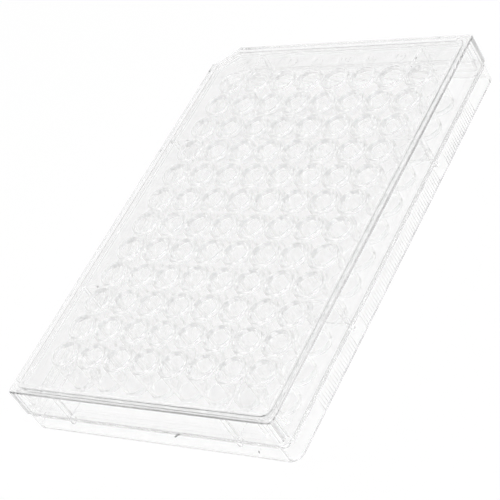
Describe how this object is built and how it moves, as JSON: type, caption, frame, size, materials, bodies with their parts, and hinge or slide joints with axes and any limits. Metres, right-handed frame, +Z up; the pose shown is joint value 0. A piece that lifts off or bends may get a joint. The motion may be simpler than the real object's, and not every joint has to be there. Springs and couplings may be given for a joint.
{
  "type": "well plate",
  "caption": "Clear plastic well plate with round flat-bottomed wells on a square grid, a hollow foot and a loose clear lid with one cut corner.",
  "frame": {"origin": "middle of the rectangle that the foot stands on", "axes": "+X along the long side from column 1 to column 12, +Y along the short side towards row A, +Z up out of the wells; the lid's cut corner is at +X +Y"},
  "size_m": [0.1278, 0.0854, 0.0152],
  "materials": {
    "clear_plate": "clear polished moulding",
    "clear_lid": "clear polished moulding"
  },
  "bodies": {
    "root": {"well_plate": "clear_plate", "lid": "clear_lid"}
  },
  "joints": []
}
